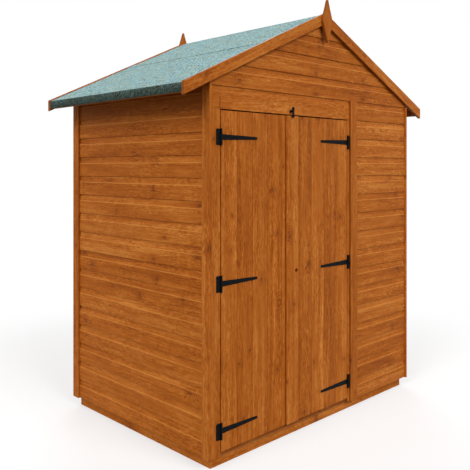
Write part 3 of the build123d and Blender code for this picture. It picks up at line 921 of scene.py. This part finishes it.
def wall_nails(sizes):
    """Places and ways of the nails in the walls, at the studs and beside the trims, and of those
    near the ends of the gables' boards."""
    side, front = -LEFT_FACE, -FRONT_FACE
    found, rows = [], nail_rows(sizes)
    for low, high in spans("wall_studs"):
        mid = (low + high) / 2
        for z in rows:
            if abs(mid.y) < front - 0.09 and abs(mid.x) > side - 0.1:
                out = math.copysign(1, mid.x)
                found.append(((out * side, mid.y, z), (out, 0, 0)))
            elif mid.y > front - 0.1 and abs(mid.x) < side - 0.09:
                found.append(((mid.x, front, z), ALONG_Y))
    inset = 0.016
    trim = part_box("front_joint_trim")[1].x
    found += [((x, -front, z), -ALONG_Y) for z in rows for x in (trim + inset, side - inset)]
    z = WALL_TOP + 0.022
    while z < ROOF_UNDER - 0.06:
        reach = min(side, (ROOF_UNDER - z) / sizes.roof_rise) - 0.085
        found += [((x, way.y * front, z), way) for x in (-reach, reach)
                  for way in (-ALONG_Y, ALONG_Y)]
        z += sizes.cover
    return found


def trim_nails():
    """Places and ways of the nails down the middle of each upright trim."""
    found = []
    for node, axis in (("side_trims", 0), ("back_trims", 1), ("front_joint_trim", 1)):
        for low, high in spans(node):
            at = (low + high) / 2
            way = Vector((0, 0, 0))
            way[axis] = math.copysign(1, at[axis])
            at[axis] = (high if way[axis] > 0 else low)[axis]
            found += [((at.x, at.y, z), way)
                      for z in spaced(low.z + 0.05, high.z - 0.12, 0.35)]
    return found


def door_nails(door):
    """Places and ways of the nails in a door, two for each end of a board on each ledge. The
    cover strip hides some."""
    face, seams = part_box(door + "_boards")[0].y, door_seams(door)
    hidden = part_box("door_cover_strip")[1].x if door == "right_door" else seams[0]
    found = []
    for low, high in spans(door + "_ledges"):
        start, end = max(hidden, low.x) + 0.01, high.x - 0.01
        for one, two in zip(seams, seams[1:]):
            inset = min(0.022, (two - one) * 0.3)
            found += [((x, face, z), -ALONG_Y) for x in (one + inset, two - inset)
                      if start < x < end for z in (low.z + 0.025, high.z - 0.025)]
    return found


class SHED_OT_nails(bpy.types.Operator):
    """Nail the wall boards, the trims and the door boards"""
    bl_idname = "shed.nails"
    bl_label = "Nails"

    def execute(self, context):
        sizes = context.scene.shed_sizes
        for body, slot, places in (
                ("shed", "cladding", wall_nails(sizes) + trim_nails()),
                ("left_door", "door_boards", door_nails("left_door")),
                ("right_door", "door_boards", door_nails("right_door"))):
            bm = bmesh.new()
            for at, out in places:
                head(bm, at, out, sizes.nail, sizes.nail_height)
            shade_by_angle(bm, 35)
            place(bm, body + "_nails", nail_steel(), slot, body)
        return {"FINISHED"}


def hinge_screws(node, body):
    """The screws of the hinges' plates: three up each leaf, four along each strap."""
    sizes = bpy.context.scene.shed_sizes
    bm = bmesh.new()
    for low, high in spans(node, front=True):
        mid = (low + high) / 2
        if node == "hinge_leaves":
            places = [(mid.x, z) for z in (low.z + 0.012, mid.z, high.z - 0.012)]
        else:
            places = [(low.x + (high.x - low.x) * part, mid.z)
                      for part in (0.12, 0.38, 0.64, 0.9)]
        for x, z in places:
            head(bm, (x, low.y, z), -ALONG_Y, sizes.screw, sizes.screw_height, True)
    shade_by_angle(bm, 35)
    place(bm, node + "_screws", black_iron(), "black_iron", body)


class SHED_OT_ironwork(bpy.types.Operator):
    """Fit the tee hinges, their screws and the turn button"""
    bl_idname = "shed.ironwork"
    bl_label = "Ironwork"

    def execute(self, context):
        edge = context.scene.shed_sizes.iron_edge
        plates = (("hinge_leaves", "shed"), ("left_hinge_straps", "left_door"),
                  ("right_hinge_straps", "right_door"))
        for node, body in (plates[0], ("hinge_pins", "shed"), *plates[1:]):
            iron(node, body, edge)
        iron("turn_button", "turn_button", edge * 2)
        iron("turn_button_screw", "shed", edge * 2)
        for node, body in plates:
            hinge_screws(node, body)
        return {"FINISHED"}


def pale_ground(hues):
    """A pale floor that keeps the shed's shadow and fades to the white backdrop."""
    bm = bmesh.new()
    bmesh.ops.create_grid(bm, x_segments=1, y_segments=1, size=14)
    mesh = bpy.data.meshes.new("ground")
    bm.to_mesh(mesh)
    bm.free()
    ground = bpy.data.objects.new("ground", mesh)
    bpy.context.scene.collection.objects.link(ground)
    made, tree, shader = blank("pale_ground")

    # It is pale to look at, but throws little light back under the eaves
    eye = seen_directly(tree)
    tree.links.new(blend(tree, eye, (0.20, 0.20, 0.20, 1), (0.92, 0.92, 0.92, 1)),
                   shader.inputs["Base Color"])
    shader.inputs["Roughness"].default_value = 1.0
    shader.inputs["Specular IOR Level"].default_value = 0.0
    glow = add(tree, "Emission", {"Color": hues.backdrop, "Strength": 1.0})
    far = step(tree, length(tree, output(tree, "TexCoord", "Object")), 1.6, 3.4)
    seen = calc(tree, "MULTIPLY", calc(tree, "MULTIPLY_ADD", far, 0.5, 0.5), eye)
    mixed = add(tree, "MixShader", {0: seen, 1: shader.outputs[0], 2: glow})
    tree.links.new(mixed, tree.nodes["Material Output"].inputs["Surface"])
    mesh.materials.append(made)


def soft_light(scene, hues):
    """Large soft lamps, and a dim world that looks white."""
    scene.world = bpy.data.worlds.new("studio")
    scene.world.use_nodes = True
    tree = scene.world.node_tree
    lit = tree.nodes["Background"]
    lit.inputs["Color"].default_value = (1, 1, 1, 1)
    lit.inputs["Strength"].default_value = WORLD_LIGHT
    white = add(tree, "Background", {"Color": hues.backdrop, "Strength": 1.0})
    mixed = add(tree, "MixShader", {0: seen_directly(tree), 1: lit.outputs[0], 2: white})
    tree.links.new(mixed, tree.nodes["World Output"].inputs["Surface"])
    for name, (way, strength) in LAMPS.items():
        lamp = bpy.data.lights.new(name, "SUN")
        lamp.energy = strength
        lamp.angle = LAMP_ANGLE
        sun = bpy.data.objects.new(name, lamp)
        scene.collection.objects.link(sun)
        sun.rotation_mode = "QUATERNION"
        sun.rotation_quaternion = Vector(way).to_track_quat("Z", "Y")


def photo_camera(scene):
    """The camera that took the photo, as worked out from its vanishing points."""
    lens = bpy.data.cameras.new("camera")
    lens.sensor_width = 36.0
    lens.lens = FOCAL_LENGTH / PHOTO_SIZE * lens.sensor_width
    lens.shift_x = (PHOTO_SIZE / 2 - PRINCIPAL_POINT[0]) / PHOTO_SIZE
    lens.shift_y = (PRINCIPAL_POINT[1] - PHOTO_SIZE / 2) / PHOTO_SIZE
    camera = bpy.data.objects.new("camera", lens)
    scene.collection.objects.link(camera)
    camera.location = CAMERA_PLACE
    camera.rotation_mode = "QUATERNION"
    camera.rotation_quaternion = Vector(CAMERA_WAY).to_track_quat("-Z", "Y")
    scene.camera = camera


class SHED_OT_stage(bpy.types.Operator):
    """Set up the floor, the soft light and the camera"""
    bl_idname = "shed.stage"
    bl_label = "Stage"

    def execute(self, context):
        scene = context.scene
        pale_ground(scene.shed_colours)
        soft_light(scene, scene.shed_colours)
        photo_camera(scene)
        scene.view_settings.view_transform = "Standard"
        return {"FINISHED"}


class SHED_PT_panel(bpy.types.Panel):
    """Lists the shed's sizes, colours and pieces"""
    bl_idname = "SHED_PT_panel"
    bl_label = "Garden shed"
    bl_space_type = "VIEW_3D"
    bl_region_type = "UI"
    bl_category = "Shed"

    def draw(self, context):
        for group in (context.scene.shed_sizes, context.scene.shed_colours):
            column = self.layout.column(align=True)
            for name in group.__annotations__:
                column.prop(group, name)
        column = self.layout.column(align=True)
        for step_class in STEPS:
            column.operator(step_class.bl_idname)


STEPS = (SHED_OT_stage, SHED_OT_floor, SHED_OT_framing, SHED_OT_cladding, SHED_OT_trims,
         SHED_OT_doors, SHED_OT_roof, SHED_OT_felt, SHED_OT_ironwork, SHED_OT_nails)
CLASSES = (ShedSizes, ShedColours, *STEPS, SHED_PT_panel)


def register():
    """Register the classes and their settings."""
    for cls in CLASSES:
        bpy.utils.register_class(cls)
    bpy.types.Scene.shed_sizes = PointerProperty(type=ShedSizes)
    bpy.types.Scene.shed_colours = PointerProperty(type=ShedColours)


def unregister():
    """Take the classes and their settings away."""
    del bpy.types.Scene.shed_sizes
    del bpy.types.Scene.shed_colours
    for cls in reversed(CLASSES):
        bpy.utils.unregister_class(cls)


def main():
    """Build the whole shed."""
    register()
    for step_class in STEPS:
        group, action = step_class.bl_idname.split(".")
        getattr(getattr(bpy.ops, group), action)()


if __name__ == "__main__":
    main()
